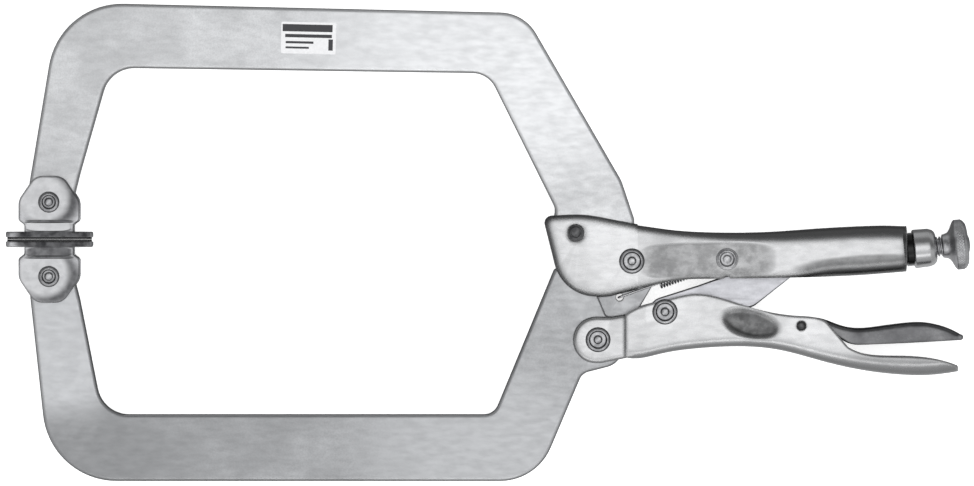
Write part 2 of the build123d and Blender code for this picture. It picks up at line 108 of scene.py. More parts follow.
# spans of a noise or of the pointiness over which a finish changes, and how far it goes
CLOUD_SPAN = (0.32, 0.68)
GRIT_SPAN = (0.3, 0.7)
GRIT_STRENGTH = 0.3
WORN_SPAN = (0.53, 0.60)
WORN_STRENGTH = 0.45
MOTTLE_SPAN = (0.34, 0.66)
STREAK_SPAN = (0.25, 0.75)
INK_SPAN = (0.35, 0.65)
INK_ROUGHNESS = (0.5, 0.7)
GRIT_TONE = 0.8
WORN_TONE = 1.25
GRAIN_STRENGTH = 0.14
GRAIN_DEPTH = 0.00010
INK_DEPTH = 0.00005
EDGE_SAMPLES = 8

WELD_DISTANCE = 1e-6
# angles in degrees over which an edge stays crisp
SKIN_CREASE = 40
FACING_CREASE = 35
THREAD_CREASE = 38
# how strongly a skin's large flat faces set the shading of their rims, in percent
FACE_WEIGHT = 80

# spring hook on the lower jaw, in mm from the main jaw pivot
SPRING_HOOK = (-5.7, -17.1, 0)
# wire of the jaw end: mm along the spring, across it and up from the middle plane
SPRING_LEAD = ((4.5, 0, -2.4), (2.0, 0, -2.5), (0.4, 0, -2.3), (-0.35, 0, -1.4), (-0.5, 0, 0),
               (-0.35, 0, 1.4), (0.4, 0, 2.4), (1.6, 0, 2.75), (5.0, 0, 2.75), (9.0, 0, 2.7),
               (13.0, 0, 2.6))
# wire of the anchor end: mm past the coil, across and up
SPRING_EXIT = ((1.4, 0.5, 1.9), (2.8, 1.3, 0.9))
# round eye on the anchor pin, with its angles in degrees
EYE_RADIUS = 2.6 * MM
EYE_STEPS = 16
EYE_START = 135
EYE_SWEEP = 265
# points in one turn of the coil, and what the coil leaves free at both ends of its solid
COIL_STEPS = 16
COIL_MARGIN = 1.2 * MM

# thread depth over one pitch, as shares of the full depth
THREAD_PROFILE = (0.0, 0.0, 0.5, 1.0, 1.0, 1.0, 0.5, 0.0)
THREAD_LEAD_IN = 0.9 * MM
KNOB_OVERLAP = 0.4 * MM
# knob outline: share of its length and share of its radius
KNOB_NECK = ((0.0, 0.42), (0.02, 0.46), (0.10, 0.48), (0.18, 0.50), (0.25, 0.56), (0.31, 0.66),
             (0.36, 0.78), (0.40, 0.87), (0.43, 0.93), (0.46, 0.965))
KNOB_RIM = tuple((0.48 + 0.24 * i / 16, 1.0) for i in range(17))
KNOB_FACE = ((0.74, 0.975), (0.78, 0.955), (0.82, 0.91), (0.86, 0.85), (0.89, 0.78), (0.905, 0.70),
             (0.905, 0.62), (0.90, 0.54), (0.905, 0.46), (0.925, 0.39), (0.95, 0.33),
             (0.975, 0.26), (0.99, 0.18), (1.0, 0.08))
KNURL_DEPTH = 0.45 * MM

# space between a facing and the middle of the two pads, and the roundness of its corners
FACING_GAP = 0.06 * MM
FACING_CORNER = 2.2 * MM

PATCH_SLOPE = radians(-1.3)
INK_LIFT = 0.01 * MM
INK_THICKNESS = 0.02 * MM
# bars on the patch: centre and size as shares of the patch's size
PATCH_BARS = ((-0.02, 0.30, 0.90, 0.22), (0.0, 0.06, 0.84, 0.10), (-0.16, -0.14, 0.50, 0.07),
              (-0.20, -0.30, 0.42, 0.06), (0.40, -0.20, 0.08, 0.34))

# painted light and shade on the bars, as paler and darker patches: place and half size in mm, share
# of the bar's colour
UPPER_LIGHT_AND_SHADE = ((-62, 94, 86, 50, 1.10),)
LOWER_LIGHT_AND_SHADE = ((-272, -45, 26, 44, 1.34), (-258, -93, 46, 22, 0.68), (-70, -88, 52, 34, 1.10))

# name, place, size, power in W and whether the metal reflects it
SOFT_BOXES = (("key_box", (0.22, 0.02, 0.75), (0.42, 0.34), 0.22, True),
              ("front_box", (0.0, -0.80, 0.85), (1.4, 0.30), 1.4, True),
              ("floor_wash", (0.15, 0.10, 2.2), (2.6, 2.6), 34.0, False))
FLOOR_DROP = 0.05 * MM
# each ramp is the share of a direction it runs from and to, and its strength at both ends
SIDE_RAMP = (-0.35, 0.20, 0.66, 0.20)
HORIZON_RAMP = (0.22, 0.50, 1.0, 0.0)
OVERHEAD_RAMP = (0.78, 0.99, 0.0, 1.0)
HORIZON_LIGHT = 0.52
OVERHEAD_LIGHT = 1.0
SEEN_LIGHT = 0.9
SKY_COLOUR = (0.98, 0.99, 1.0, 1.0)
VIEW_OFFSET = (-0.0008, -0.0003)
SENSOR_WIDTH = 36.0
NEAR_CLIP = 0.01

# area of a surface that is pressed, coloured differently, or given painted light or shade: centre
# and half sizes on the tool's side, turn, softness and squareness of its outline, tone, depth, and
# how unevenly the tone lies
Mark = namedtuple("Mark", "centre half turn soft squareness tone depth mottle")


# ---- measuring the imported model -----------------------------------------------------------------
def node_centre(name):
    """Middle of a node's box at rest."""
    low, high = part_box(name)
    return (Vector(low) + Vector(high)) / 2


def node_size(name):
    """Size of a node's box at rest."""
    low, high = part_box(name)
    return Vector(high) - Vector(low)


def span_on_screw(name):
    """First and last distance of a turned node along the screw's axis."""
    distances = [(v.co - SCREW_ORIGIN).dot(SCREW_AXIS) for v in NODES[name].data.vertices]
    return min(distances), max(distances)


def on_tool(x, y):
    """Place on the tool's side, from millimetres measured from the main jaw pivot."""
    return JAW_PIVOT.x + x * MM, JAW_PIVOT.y + y * MM


def scaled(colour, share):
    """Colour made darker or lighter, up to white."""
    return tuple(min(1.0, share * part) for part in colour)


def side_mark(x, y, half_x, half_y, turn, soft, squareness, tone, depth, mottle):
    """Mark on the tool's side, in millimetres from the main jaw pivot and in degrees."""
    return Mark(on_tool(x, y), (half_x * MM, half_y * MM), radians(turn), soft, squareness, tone,
                depth * MM, mottle)


# ---- mesh building ------------------------------------------------------------------------------
def link_piece(name, mesh, body, smooth=True):
    """New object from a mesh, riding on a body when one is given."""
    piece = bpy.data.objects.new(name, mesh)
    bpy.context.scene.collection.objects.link(piece)
    for polygon in mesh.polygons:
        polygon.use_smooth = smooth
    if body:
        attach(piece, body)
    return piece


def mesh_from(name, rows):
    """Mesh of quads between rows of points, each row a ring, with capped ends."""
    mesh = bpy.data.meshes.new(name)
    work = bmesh.new()
    rings = [[work.verts.new(point) for point in row] for row in rows]
    count = len(rings[0])
    for near, far in zip(rings, rings[1:]):
        for i in range(count):
            j = (i + 1) % count
            work.faces.new((near[i], near[j], far[j], far[i]))
    work.faces.new(list(reversed(rings[0])))
    work.faces.new(rings[-1])
    bmesh.ops.recalc_face_normals(work, faces=work.faces)
    work.to_mesh(mesh)
    work.free()
    return mesh


def tube(name, points, radius, sides=10):
    """Round wire along a list of points, with frames carried along without twist."""
    points = [Vector(p) for p in points]
    rows = []
    normal = None
    for i, point in enumerate(points):
        before = points[max(i - 1, 0)]
        after = points[min(i + 1, len(points) - 1)]
        tangent = (after - before).normalized()
        if normal is None:
            normal = tangent.orthogonal().normalized()
        normal = (normal - tangent * normal.dot(tangent)).normalized()
        side = tangent.cross(normal)
        rows.append([point + (normal * cos(a) + side * sin(a)) * radius
                     for a in (2 * pi * k / sides for k in range(sides))])
    return mesh_from(name, rows)


def screw_space():
    """Matrix that takes (distance, across, across) to the row frame on the screw's axis."""
    turn = SCREW_AXIS.to_track_quat("X", "Z").to_matrix().to_4x4()
    return Matrix.Translation(SCREW_ORIGIN) @ turn


def mark_sharp(mesh, angle):
    """Keep edges over an angle crisp while the rest shades smoothly."""
    work = bmesh.new()
    work.from_mesh(mesh)
    for edge in work.edges:
        if edge.calc_face_angle(0) > angle:
            edge.smooth = False
    work.to_mesh(mesh)
    work.free()


def body_name(node):
    """Name of the moving body that carries a CAD node."""
    return next(name for name, empty in frame["bodies"].items() if empty is NODES[node].parent)


def skin(node, material):
    """Welded copy of a node's surface whose flat faces shade flat beside their rounded rims."""
    source = NODES[node]
    mesh = bpy.data.meshes.new(node + "_skin")
    mesh.from_pydata([v.co for v in source.data.vertices], [],
                     [tuple(p.vertices) for p in source.data.polygons])
    mesh.transform(source.matrix_world)
    work = bmesh.new()
    work.from_mesh(mesh)
    bmesh.ops.remove_doubles(work, verts=work.verts, dist=WELD_DISTANCE)
    bmesh.ops.dissolve_degenerate(work, edges=work.edges, dist=WELD_DISTANCE)
    work.to_mesh(mesh)
    work.free()
    mark_sharp(mesh, radians(SKIN_CREASE))
    mesh.materials.append(material)
    piece = link_piece(node + "_skin", mesh, body_name(node))
    weighted = piece.modifiers.new("flat_faces", "WEIGHTED_NORMAL")
    weighted.keep_sharp = True
    weighted.weight = FACE_WEIGHT
    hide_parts(node)


# ---- materials ----------------------------------------------------------------------------------
class Shader:
    """Small helper that adds nodes to one material and links them."""

    def __init__(self, name):
        """New material with its surface shader and its texture coordinates."""
        self.material = bpy.data.materials.new(name)
        self.material.use_nodes = True
        self.tree = self.material.node_tree
        self.surface = self.tree.nodes["Principled BSDF"]
        self.place = self.add("ShaderNodeTexCoord")

    def add(self, kind, **settings):
        """New node with the given settings."""
        node = self.tree.nodes.new(kind)
        for key, value in settings.items():
            setattr(node, key, value)
        return node

    def link(self, source, target):
        """Join an output socket to an input socket."""
        self.tree.links.new(source, target)

    def noise(self, scale, detail, stretch=(1, 1, 1), rough=0.55):
        """Noise in metres over the object, stretched along its axes."""
        mapping = self.add("ShaderNodeMapping")
        mapping.inputs["Scale"].default_value = stretch
        self.link(self.place.outputs["Object"], mapping.inputs["Vector"])
        texture = self.add("ShaderNodeTexNoise")
        texture.inputs["Scale"].default_value = scale
        texture.inputs["Detail"].default_value = detail
        texture.inputs["Roughness"].default_value = rough
        self.link(mapping.outputs["Vector"], texture.inputs["Vector"])
        return texture.outputs["Fac"]

    def between(self, value, low, high, to_low=0.0, to_high=1.0):
        """Value rescaled smoothly from one range to another."""
        node = self.add("ShaderNodeMapRange", interpolation_type="SMOOTHSTEP")
        self.link(value, node.inputs["Value"])
        node.inputs["From Min"].default_value = low
        node.inputs["From Max"].default_value = high
        node.inputs["To Min"].default_value = to_low
        node.inputs["To Max"].default_value = to_high
        return node.outputs["Result"]

    def mix(self, factor, first, second):
        """Colour between two colours, by a factor socket."""
        node = self.add("ShaderNodeMix", data_type="RGBA")
        self.link(factor, node.inputs["Factor"])
        for socket, colour in ((node.inputs[6], first), (node.inputs[7], second)):
            if isinstance(colour, tuple):
                socket.default_value = (*colour, 1.0)
            else:
                self.link(colour, socket)
        return node.outputs[2]

    def maths(self, operation, first, second):
        """One arithmetic step on two sockets or numbers."""
        node = self.add("ShaderNodeMath", operation=operation)
        for socket, value in zip(node.inputs, (first, second)):
            if isinstance(value, (int, float)):
                socket.default_value = value
            else:
                self.link(value, socket)
        return node.outputs["Value"]

    def flatness(self, normal):
        """1 on the broad flat sides of the tool and 0 on its edges, from a normal's slope."""
        parts = self.add("ShaderNodeSeparateXYZ")
        self.link(normal, parts.inputs["Vector"])
        return self.maths("ABSOLUTE", parts.outputs["Z"], 0.0)

    def bump(self, height, strength, distance, normal=None):
        """Surface relief from a height socket, over another normal if one is given."""
        node = self.add("ShaderNodeBump")
        node.inputs["Strength"].default_value = strength
        node.inputs["Distance"].default_value = distance
        self.link(height, node.inputs["Height"])
        if normal:
            self.link(normal, node.inputs["Normal"])
        self.link(node.outputs["Normal"], self.surface.inputs["Normal"])

    def soft_edges(self, radius):
        """Normal that rolls over near every edge, like bent and tumbled sheet."""
        node = self.add("ShaderNodeBevel", samples=EDGE_SAMPLES)
        node.inputs["Radius"].default_value = radius
        return node.outputs["Normal"]

    def oval(self, mark):
        """1 inside a mark's oval or rounded box on the tool's side and 0 outside it."""
        mapping = self.add("ShaderNodeMapping", vector_type="TEXTURE")
        mapping.inputs["Location"].default_value = (*mark.centre, 0)
        mapping.inputs["Rotation"].default_value = (0, 0, mark.turn)
        mapping.inputs["Scale"].default_value = (*mark.half, 1)
        self.link(self.place.outputs["Object"], mapping.inputs["Vector"])
        parts = self.add("ShaderNodeSeparateXYZ")
        self.link(mapping.outputs["Vector"], parts.inputs["Vector"])
        reach = None
        for axis in ("X", "Y"):
            size = self.maths("ABSOLUTE", parts.outputs[axis], 0.0)
            term = self.maths("POWER", size, mark.squareness)
            reach = term if reach is None else self.maths("ADD", reach, term)
        return self.between(reach, 1.0 + mark.soft, 1.0 - mark.soft)


def plated_metal(name, light, dark, edge, roughness, grain=1.0, blotch=55.0, band=(0.35, 0.97),
                 rolled=0.4 * MM, marks=()):
    """Plated steel: cloudy colour, fine grain, darker bent edges, worn bright corners, marks.

    edge is the painted shade colour of the sloping bent edges, rolled how wide they are and band
    the slopes they cover; roughness is its smoothest and its roughest."""
    shader = Shader(name)
    surface = shader.surface
    surface.inputs["Metallic"].default_value = 1.0
    clouds = shader.noise(blotch, 6.0)
    speckle = shader.noise(FINE_GRAIN, 3.0)
    brushed = shader.noise(BRUSHING, 5.0, stretch=(0.35, 1.0, 1.0))
    stipple = shader.noise(STIPPLE, 4.0)
    body = shader.mix(shader.between(clouds, *CLOUD_SPAN), dark, light)
    grit = shader.between(speckle, *GRIT_SPAN, 0.0, GRIT_STRENGTH * grain)
    body = shader.mix(grit, body, scaled(dark, GRIT_TONE))
    normal = shader.soft_edges(rolled)
    # painted shade: where the rolled normal slopes away from straight up, the colour goes to the
    # dark edge colour, in place of the dark these rims would reflect
    flat = shader.between(shader.flatness(normal), *band)
    body = shader.mix(flat, edge, body)
    pointy = shader.add("ShaderNodeNewGeometry").outputs["Pointiness"]
    worn = shader.between(pointy, *WORN_SPAN, 0.0, WORN_STRENGTH)
    body = shader.mix(worn, body, scaled(light, WORN_TONE))
    for mark in marks:
        inside = shader.maths("MULTIPLY", shader.oval(mark), flat)
        evenness = shader.between(stipple, *MOTTLE_SPAN, 1.0 - mark.mottle, 1.0)
        body = shader.mix(inside, body, shader.mix(evenness, body, mark.tone))
        pressed = shader.add("ShaderNodeBump", invert=True)
        pressed.inputs["Distance"].default_value = mark.depth
        shader.link(inside, pressed.inputs["Height"])
        shader.link(normal, pressed.inputs["Normal"])
        normal = pressed.outputs["Normal"]
    shader.link(body, surface.inputs["Base Color"])
    streak = shader.between(brushed, *STREAK_SPAN, *roughness)
    shader.link(streak, surface.inputs["Roughness"])
    relief = shader.maths("ADD", shader.maths("MULTIPLY", speckle, 0.6), brushed)
    shader.bump(relief, GRAIN_STRENGTH * grain, GRAIN_DEPTH, normal)
    return shader.material


def jaw_bar_steel(name, colour, light_and_shade_areas):
    """Satin plated bar with a mottled skin, painted shade on its rims and painted light and shade in
    places.
    """
    # painted light and shade: each patch makes the bar paler or darker by its share
    marks = [side_mark(x, y, half_x, half_y, turn=0.0, soft=0.9, squareness=2.0,
                       tone=scaled(colour, share), depth=0.0, mottle=0.15)
             for x, y, half_x, half_y, share in light_and_shade_areas]
    return plated_metal(name, tuple(colour), scaled(colour, 0.80), scaled(colour, 0.36),
                        (0.36, 0.50), grain=1.2, blotch=38.0, band=(0.55, 0.97),
                        rolled=1.3 * MM, marks=marks)


def bright_sheet(finish, name, rolled, marks=(), rim=0.5, band=(0.50, 0.97)):
    """Bright nickel plate on bent sheet; rim is how dark the painted shade on its bent edges is."""
    light = tuple(finish.sheet_colour)
    return plated_metal(name, light, scaled(light, 0.88), scaled(light, rim), (0.20, 0.32),
                        grain=0.6, blotch=70.0, band=band, rolled=rolled, marks=marks)


def rivet_metal(name="rivet_metal", tone=1.0):
    """Plated rivet steel with tool marks."""
    light, dark, edge = (scaled(colour, tone) for colour in (
        (0.60, 0.60, 0.61), (0.28, 0.28, 0.29), (0.08, 0.08, 0.085)))
    return plated_metal(name, light, dark, edge, (0.22, 0.38), blotch=300.0, band=(0.70, 0.99),
                        rolled=0.8 * MM)


def link_metal():
    """Satin steel of the toggle link."""
    return plated_metal("link_metal", (0.66, 0.66, 0.69), (0.56, 0.56, 0.59),
                        (0.30, 0.30, 0.32), (0.30, 0.45), band=(0.3, 0.97))


def pad_metal(name, marks):
    """Pressed pad steel, with painted shade at its bends."""
    return plated_metal(name, (0.66, 0.66, 0.675), (0.42, 0.42, 0.43), (0.12, 0.12, 0.125),
                        (0.25, 0.42), blotch=150.0, band=(0.35, 0.97), rolled=1.2 * MM,
                        marks=marks)


def lever_metal():
    """Dark oiled steel of the release lever."""
    return plated_metal("lever_metal", (0.24, 0.24, 0.245), (0.13, 0.13, 0.135),
                        (0.06, 0.06, 0.062), (0.26, 0.40), blotch=90.0, band=(0.40, 0.97),
                        rolled=2.0 * MM)


def screw_metal():
    """Turned and knurled screw steel."""
    return plated_metal("screw_metal", (0.62, 0.62, 0.63), (0.38, 0.38, 0.39),
                        (0.30, 0.30, 0.31), (0.24, 0.40), blotch=220.0, band=(0.0, 0.6))


def wire_metal():
    """Drawn spring wire."""
    return plated_metal("wire_metal", (0.66, 0.66, 0.67), (0.46, 0.46, 0.47),
                        (0.34, 0.34, 0.35), (0.20, 0.32), blotch=500.0, band=(0.0, 0.7))


def print_ink(name, colour, evenness=0.7):
    """Matt printed ink, patchy where it is thin."""
    shader = Shader(name)
    patchy = shader.between(shader.noise(INK_PATCHES, 5.0), *INK_SPAN)
    tint = shader.mix(patchy, scaled(colour, evenness), colour)
    shader.link(tint, shader.surface.inputs["Base Color"])
    shader.link(shader.between(patchy, 0, 1, *INK_ROUGHNESS), shader.surface.inputs["Roughness"])
    shader.bump(patchy, 0.1, INK_DEPTH)
    return shader.material


def paint_node(name, material):
    """Give a CAD node its finish through its material slots."""
    node = NODES[name]
    if not node.material_slots:
        node.data.materials.append(material)
    for slot in node.material_slots:
        slot.link = "OBJECT"
        slot.material = material


# ---- settings -----------------------------------------------------------------------------------
class ClampFinish(bpy.types.PropertyGroup):
    """Colours of the plated surfaces."""
    upper_jaw_colour: bpy.props.FloatVectorProperty(
        name="Upper jaw", description="Colour of the satin plated upper bar", subtype="COLOR",
        size=3, min=0.0, max=1.0, default=(0.86, 0.865, 0.875))
    lower_jaw_colour: bpy.props.FloatVectorProperty(
        name="Lower jaw", description="Colour of the satin plated lower bar", subtype="COLOR",
        size=3, min=0.0, max=1.0, default=(0.54, 0.545, 0.555))
    sheet_colour: bpy.props.FloatVectorProperty(
        name="Handle sheet", description="Colour of the bright plated handles", subtype="COLOR",
        size=3, min=0.0, max=1.0, default=(0.60, 0.60, 0.605))
    ink_colour: bpy.props.FloatVectorProperty(
        name="Printed marks", description="Colour of the printed patch", subtype="COLOR",
        size=3, min=0.0, max=1.0, default=(0.05, 0.05, 0.055))


class ClampSizes(bpy.types.PropertyGroup):
    """Sizes of the screw, knob and spring detail."""
    pitch: bpy.props.FloatProperty(
        name="Thread pitch", description="Distance from one thread crest to the next",
        default=1.5875 * MM, min=0.5 * MM, max=4 * MM, precision=5, unit="LENGTH")
    thread_depth: bpy.props.FloatProperty(
        name="Thread depth", description="Height of the thread above its root",
        default=0.95 * MM, min=0.1 * MM, max=2 * MM, precision=5, unit="LENGTH")
    thread_radius: bpy.props.FloatProperty(
        name="Thread radius", description="Radius over the thread's crests",
        default=4.74 * MM, min=2 * MM, max=8 * MM, precision=5, unit="LENGTH")
    knob_length: bpy.props.FloatProperty(
        name="Knob length", description="Length of the flared knob",
        default=13.2 * MM, min=5 * MM, max=30 * MM, precision=5, unit="LENGTH")
    knob_radius: bpy.props.FloatProperty(
        name="Knob radius", description="Radius over the knob's knurled rim",
        default=11.95 * MM, min=5 * MM, max=20 * MM, precision=5, unit="LENGTH")
    coil_turns: bpy.props.IntProperty(
        name="Spring turns", description="Turns in the jaw spring's coil", default=19,
        min=5, max=60)
    coil_radius: bpy.props.FloatProperty(
        name="Spring radius", description="Radius to the middle of the coil's wire",
        default=2.5 * MM, min=1 * MM, max=6 * MM, precision=5, unit="LENGTH")
    wire_radius: bpy.props.FloatProperty(
        name="Wire radius", description="Radius of the spring wire", default=0.5 * MM,
        min=0.2 * MM, max=1.5 * MM, precision=5, unit="LENGTH")


class ClampStudio(bpy.types.PropertyGroup):
    """Camera and light settings."""
    camera_height: bpy.props.FloatProperty(
        name="Camera height", description="Height of the camera above the tool",
        default=3.0, min=0.3, max=8.0, unit="LENGTH")
    view_width: bpy.props.FloatProperty(
        name="View width", description="Width of what the camera sees at the tool",
        default=0.4617, min=0.1, max=3.0, unit="LENGTH")
    floor_glow: bpy.props.FloatProperty(
        name="Floor glow", description="Light that the backlit floor gives off", default=0.72,
        min=0.0, max=5.0)
    floor_size: bpy.props.FloatProperty(
        name="Floor size", description="Width of the square floor", default=8.0, min=1.0,
        max=50.0, unit="LENGTH")


# ---- operators ----------------------------------------------------------------------------------
class CLAMP_OT_jaws(bpy.types.Operator):
    """Finish the two jaw bars"""
    bl_idname = "clamp.jaws"
    bl_label = "Jaws"

    def execute(self, context):
        finish = context.scene.clamp_finish
        bars = (("upper_jaw", finish.upper_jaw_colour, UPPER_LIGHT_AND_SHADE),
                ("lower_jaw", finish.lower_jaw_colour, LOWER_LIGHT_AND_SHADE))
        for name, colour, light_and_shade_areas in bars:
            skin(name, jaw_bar_steel(name + "_steel", colour, light_and_shade_areas))
        return {"FINISHED"}


class CLAMP_OT_handles(bpy.types.Operator):
    """Finish the casing, its bush, the lower handle and the release lever"""
    bl_idname = "clamp.handles"
    bl_label = "Handles"

    def execute(self, context):
        finish = context.scene.clamp_finish
        grey, middle, shade = (scaled(finish.sheet_colour, share) for share in (0.44, 0.62, 0.16))
        panel = side_mark(35.5, 0.2, 30.5, 8.2, turn=1.0, soft=0.45, squareness=4.0,
                          tone=grey, depth=0.35, mottle=0.40)
        # painted shade on the casing's curled lower flange
        curl_shade = side_mark(110.0, -2.0, 32.0, 4.8, turn=3.5, soft=0.35, squareness=2.0,
                         tone=scaled(grey, 0.80), depth=0.01, mottle=0.15)
        # painted shade in the thumb dish of the lower handle
        hollow_shade = side_mark(56.0, -29.6, 13.0, 6.4, turn=-14, soft=0.6, squareness=2.0,
                           tone=shade, depth=0.6, mottle=0.18)
        # painted shade on the rounded rear end of the lower handle
        tail_shade = side_mark(134.0, -48.6, 30.0, 7.5, turn=-3, soft=0.6, squareness=2.0,
                         tone=middle, depth=0.01, mottle=0.15)
        # painted shadow: a near-black band on casing and bush where the casing ends at its bush
        groove_shade = side_mark(131.0, 5.6, 2.4, 12.0, turn=5.8, soft=0.3, squareness=6.0,
                           tone=scaled(shade, 0.3), depth=0.1, mottle=0.0)
        # painted shade: the casing's bent edges go down to a fifth of the sheet colour, the bush's
        # barely darken
        casing = bright_sheet(finish, "casing_sheet", 5.0 * MM, (panel, curl_shade, groove_shade), 0.20,
                              (0.78, 0.995))
        bush = bright_sheet(finish, "bush_sheet", 0.6 * MM, (groove_shade,), 0.9, (0.10, 0.60))
        handle = bright_sheet(finish, "handle_sheet", 2.4 * MM, (hollow_shade, tail_shade))
        skin("fixed_handle", casing)
        skin("lower_handle", handle)
        skin("screw_bush", bush)
        skin("release_lever", lever_metal())
        skin("toggle_link", link_metal())
        return {"FINISHED"}


class CLAMP_OT_rivets(bpy.types.Operator):
    """Finish every rivet and pin"""
    bl_idname = "clamp.rivets"
    bl_label = "Rivets and pins"

    def execute(self, context):
        bright = rivet_metal()
        # painted shade: the dark tone stands in for the recess of the upper jaw rivet's hollow head;
        # the release lever pin shares the same darker tone
        dark = rivet_metal("darkened_rivet", 0.22)
        for name in NODES:
            if name in ("upper_jaw_rivet", "release_lever_pin"):
                paint_node(name, dark)
            elif name.endswith("_rivet") or name.endswith("_pin"):
                paint_node(name, bright)
        return {"FINISHED"}


class CLAMP_OT_pads(bpy.types.Operator):
    """Finish the two swivel pads"""
    bl_idname = "clamp.pads"
    bl_label = "Swivel pads"

    def execute(self, context):
        # painted shade: the facings are dark thin sheets standing in for the shade line between the
        # two pads
        facing = rivet_metal("facing_painted_shade", 0.12)
        for side, name in ((1, "upper_pad"), (-1, "lower_pad")):
            material = pad_metal(name + "_steel", pad_light_and_shade(side))
            skin(name, material)
            pad_facing(name, side, facing)
        return {"FINISHED"}


def pad_light_and_shade(side):
    """Painted light and shade on a pad, over shallow pressed creases: side is 1 for the upper pad.
    """
    pivot = node_centre("upper_pad_rivet" if side > 0 else "lower_pad_rivet")
    face = pad_face(side)
    black, dark, bright = (0.05, 0.05, 0.053), (0.13, 0.13, 0.135), (0.72, 0.72, 0.73)

    def area(x, up, half_x, half_up, tone, soft=0.3, squareness=2.0, depth=0.05):
        """One mark, placed sideways from the pivot and away from the clamping face."""
        return Mark((pivot.x + x * MM, face + side * up * MM), (half_x * MM, half_up * MM), 0.0,
                    soft, squareness, tone, depth * MM, 0.2)

    height = abs(pivot.y - face) / MM
    # painted shade: a dark oval with a paler one offset over it leaves a dark crescent, the shade
    # inside the ear's dish
    return [area(1.0, height + 0.5, 13.5, 12.2, dark, 0.35),
            area(-2.6, height + 1.6 * side, 12.0, 11.2, bright, 0.35),
            # painted highlight on the upper pad's bend and painted shade on the lower one's, a thin
            # line of painted dark reflection above it, and a black band of painted shade along the
            # clamping plates
            area(0.0, 4.9, 10.6, 2.1, bright if side > 0 else dark, 0.4, 4.0, 0.3),
            area(0.0, 7.4, 10.8, 0.7, dark, 0.6, 4.0, 0.5),
            area(2.0, 0.6, 18.0, 2.3, black, 0.5, 4.0)]


def pad_face(side):
    """Height on Y of a pad's clamping face."""
    low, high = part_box("upper_pad" if side > 0 else "lower_pad")
    return low[1] if side > 0 else high[1]


def pad_facing(name, side, material):
    """Thin facing on a pad's clamping plate, bevelled all round, dark as painted shade of the line
    between the two pads.
    """
    middle = (pad_face(1) + pad_face(-1)) / 2
    low, high = (Vector(corner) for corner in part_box(name))
    depth = abs(pad_face(side) - middle) - FACING_GAP
    size = Vector(((high.x - low.x) * 0.97, depth, (high.z - low.z) * 0.94))
    centre = Vector(((low.x + high.x) / 2, pad_face(side) - side * depth / 2,
                     (low.z + high.z) / 2))
    mesh = bpy.data.meshes.new(name + "_facing")
    work = bmesh.new()
    place = Matrix.Translation(centre) @ Matrix.Diagonal((*size, 1))
    bmesh.ops.create_cube(work, size=1.0, matrix=place)
    corners = [e for e in work.edges if abs(e.verts[0].co.y - e.verts[1].co.y) > 0.5 * depth]
    bmesh.ops.bevel(work, geom=corners, offset=FACING_CORNER, segments=6, affect="EDGES",
                    profile=0.5)
    work.to_mesh(mesh)
    work.free()
    mesh.materials.append(material)
    mark_sharp(mesh, radians(FACING_CREASE))
    link_piece(name + "_facing", mesh, name)


class CLAMP_OT_screw(bpy.types.Operator):
    """Cut the adjusting screw's thread and knurl its knob"""
    bl_idname = "clamp.screw"
    bl_label = "Adjusting screw"

    def execute(self, context):
        sizes = context.scene.clamp_sizes
        material = screw_metal()
        space = screw_space()
        start, end = span_on_screw("adjusting_screw")
        knob_start = end - sizes.knob_length
        shank = threaded_shank(sizes, start, knob_start + KNOB_OVERLAP)
        knob = knurled_knob(sizes, knob_start, end)
        for mesh, name in ((shank, "screw_shank"), (knob, "screw_knob")):
            mesh.transform(space)
            mark_sharp(mesh, radians(THREAD_CREASE))
            piece = link_piece(name, mesh, "adjusting_screw")
            piece.data.materials.append(material)
            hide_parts("adjusting_screw")
        paint_node("screw_tip", material)
        return {"FINISHED"}


def threaded_shank(sizes, start, end, sides=48):
    """Threaded rod along X whose rows follow the thread's own helix."""
    steps = len(THREAD_PROFILE)
    pitch = sizes.pitch
    rows_needed = int((end - start) / pitch * steps) + 2 * steps
    rows = []
    for k in range(-steps, rows_needed):
        depth = THREAD_PROFILE[k % steps] * sizes.thread_depth
        ring = []
        for i in range(sides):
            angle = 2 * pi * i / sides
            distance = start + pitch * (k / steps + angle / (2 * pi))
            radius = sizes.thread_radius - depth
            lead_in = min((distance - start) / pitch, 1.0)
            radius -= max(0.0, 1.0 - lead_in) * THREAD_LEAD_IN
            distance = min(max(distance, start), end)
            ring.append((distance, radius * cos(angle), radius * sin(angle)))
        rows.append(ring)
    mesh = bpy.data.meshes.new("screw_shank")
    work = bmesh.new()
    rings = [[work.verts.new(point) for point in row] for row in rows]
    for k in range(len(rings) - 1):
        for i in range(sides - 1):
            work.faces.new((rings[k][i], rings[k][i + 1], rings[k + 1][i + 1], rings[k + 1][i]))
        if k + 1 + steps < len(rings):
            work.faces.new((rings[k][sides - 1], rings[k + steps][0],
                            rings[k + 1 + steps][0], rings[k + 1][sides - 1]))
    bmesh.ops.remove_doubles(work, verts=work.verts, dist=1e-7)
    bmesh.ops.dissolve_degenerate(work, edges=work.edges, dist=1e-7)
    open_edges = [edge for edge in work.edges if edge.is_boundary]
    bmesh.ops.holes_fill(work, edges=open_edges, sides=0)
    bmesh.ops.recalc_face_normals(work, faces=work.faces)
    work.to_mesh(mesh)
    work.free()
    return mesh


def knurled_knob(sizes, start, end, sides=224, teeth=56):
    """Flared knob along X with a diamond-knurled rim and a dished end."""
    length = end - start
    reach = sizes.knob_radius
    rows = []
    for share, width in KNOB_NECK + KNOB_RIM + KNOB_FACE:
        on_rim = 0.475 < share < 0.725
        ring = []
        for i in range(sides):
            angle = 2 * pi * i / sides
            radius = reach * width
            if on_rim:
                twist = share * length / reach * teeth
                first = abs(((angle * teeth + twist) / (2 * pi)) % 1.0 - 0.5) * 2
                second = abs(((angle * teeth - twist) / (2 * pi)) % 1.0 - 0.5) * 2
                radius -= KNURL_DEPTH * max(first, second) ** 1.5
            ring.append((start + share * length, radius * cos(angle), radius * sin(angle)))
        rows.append(ring)
    return mesh_from("screw_knob", rows)


